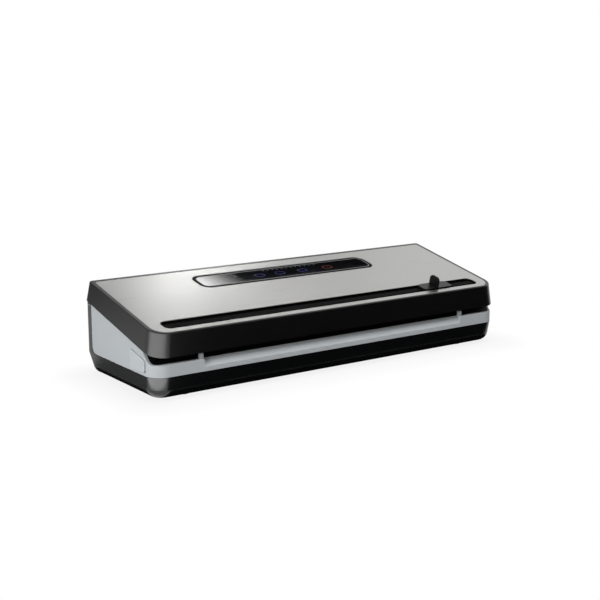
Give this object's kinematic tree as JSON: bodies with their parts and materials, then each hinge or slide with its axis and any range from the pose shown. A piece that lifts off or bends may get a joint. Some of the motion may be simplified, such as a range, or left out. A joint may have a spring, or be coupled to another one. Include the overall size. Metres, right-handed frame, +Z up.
{
  "type": "vacuum sealer",
  "caption": "Counter-top vacuum sealer with a hinged sloping lid, sliding bag cutter, dark control panel, sprung release buttons and a full-width bag mouth.",
  "frame": {"origin": "bottom centre of the bounding box: under the middle of the casing, at the level of the feet", "axes": "+X to the right of the user along the bag mouth, +Y from the front to the rear, +Z up"},
  "size_m": [0.4038, 0.128, 0.0884],
  "materials": {
    "lid_black": "satin black moulded plastic",
    "tray_black": "fine-grained black moulded plastic",
    "case_grey": "fine-grained light grey moulded plastic",
    "button_grey": "fine-grained light grey moulded plastic",
    "deck_black": "fine-grained black moulded plastic",
    "cutter_black": "satin black moulded plastic",
    "rail_black": "black moulded plastic",
    "trim": "satin trim ring",
    "inner_plastic": "black moulded plastic",
    "steel": "brushed along the width",
    "panel_glass": "dark polished panel",
    "bezel": "gloss black",
    "gasket": "soft black foam rubber",
    "seal_bar": "heat-proof moulding",
    "tape": "coated glass cloth",
    "bare_steel": "plain steel",
    "silicone": "silicone rubber",
    "motor_steel": "zinc-plated steel",
    "magnet": "plain ferrite",
    "copper": "varnished winding and laminations",
    "core": "varnished laminations",
    "circuit_board": "green circuit board",
    "board_parts": "moulded component bodies",
    "lamp": "clear lens",
    "contact": "plated contact pins",
    "foot_rubber": "matt rubber"
  },
  "bodies": {
    "casing": {"base_tray": "tray_black", "grey_casing": "case_grey", "chamber_deck": "deck_black", "bag_guides": "case_grey", "seal_bar": "seal_bar", "heating_strip": "bare_steel", "release_tape": "tape", "lower_gasket": "gasket", "right_return_spring": "bare_steel", "left_return_spring": "bare_steel", "lid_switches": "board_parts", "hinge_pins": "bare_steel", "intake_nozzle": "inner_plastic", "vacuum_hose": "silicone", "motor_can": "motor_steel", "motor_magnets": "magnet", "pump_head": "inner_plastic", "pump_diaphragm": "gasket", "pump_cover": "inner_plastic", "pump_screws": "bare_steel", "pump_bracket": "motor_steel", "bracket_screws": "bare_steel", "transformer": "core", "power_board": "circuit_board", "board_parts": "board_parts", "board_screws": "bare_steel", "mains_inlet": "inner_plastic", "inlet_pins": "contact", "base_screws": "bare_steel", "rubber_feet": "foot_rubber"},
    "lid": {"lid_shell": "lid_black", "steel_plate": "steel", "cutter_rail": "rail_black", "panel_bezel": "bezel", "panel_trim": "trim", "panel_glass": "panel_glass", "display_board": "circuit_board", "display_lamps": "lamp", "display_screws": "bare_steel", "lid_cover": "inner_plastic", "lid_screws": "bare_steel", "pressure_strip": "silicone", "upper_gasket": "gasket", "latch_hooks": "inner_plastic"},
    "cutter": {"cutter_slider": "cutter_black", "blade_holder": "inner_plastic", "cutter_blade": "bare_steel"},
    "left_button": {"left_release_button": "button_grey", "left_latch_slider": "inner_plastic"},
    "right_button": {"right_release_button": "button_grey", "right_latch_slider": "inner_plastic"},
    "rotor": {"motor_armature": "copper", "crank_wheel": "inner_plastic"}
  },
  "joints": [
    {"name": "lid_hinge", "type": "hinge", "parent": "casing", "child": "lid", "pos_m": [0, 0.0605, 0.06994], "axis": [-1, 0, 0], "range_deg": [0, 75]},
    {"name": "cutter_slide", "type": "slide", "parent": "lid", "child": "cutter", "axis": [1, 0, 0], "range_m": [-0.285, 0.027]},
    {"name": "left_button_press", "type": "slide", "parent": "casing", "child": "left_button", "axis": [1, 0, 0], "range_m": [0, 0.0028], "stiffness_N_per_m": 900, "springref_m": -0.002, "deforming": ["left_return_spring"]},
    {"name": "right_button_press", "type": "slide", "parent": "casing", "child": "right_button", "axis": [-1, 0, 0], "range_m": [0, 0.0028], "stiffness_N_per_m": 900, "springref_m": -0.002, "deforming": ["right_return_spring"]},
    {"name": "rotor_spin", "type": "hinge", "parent": "casing", "child": "rotor", "pos_m": [-0.085, 0.04, 0.03], "axis": [1, 0, 0], "continuous": true}
  ]
}
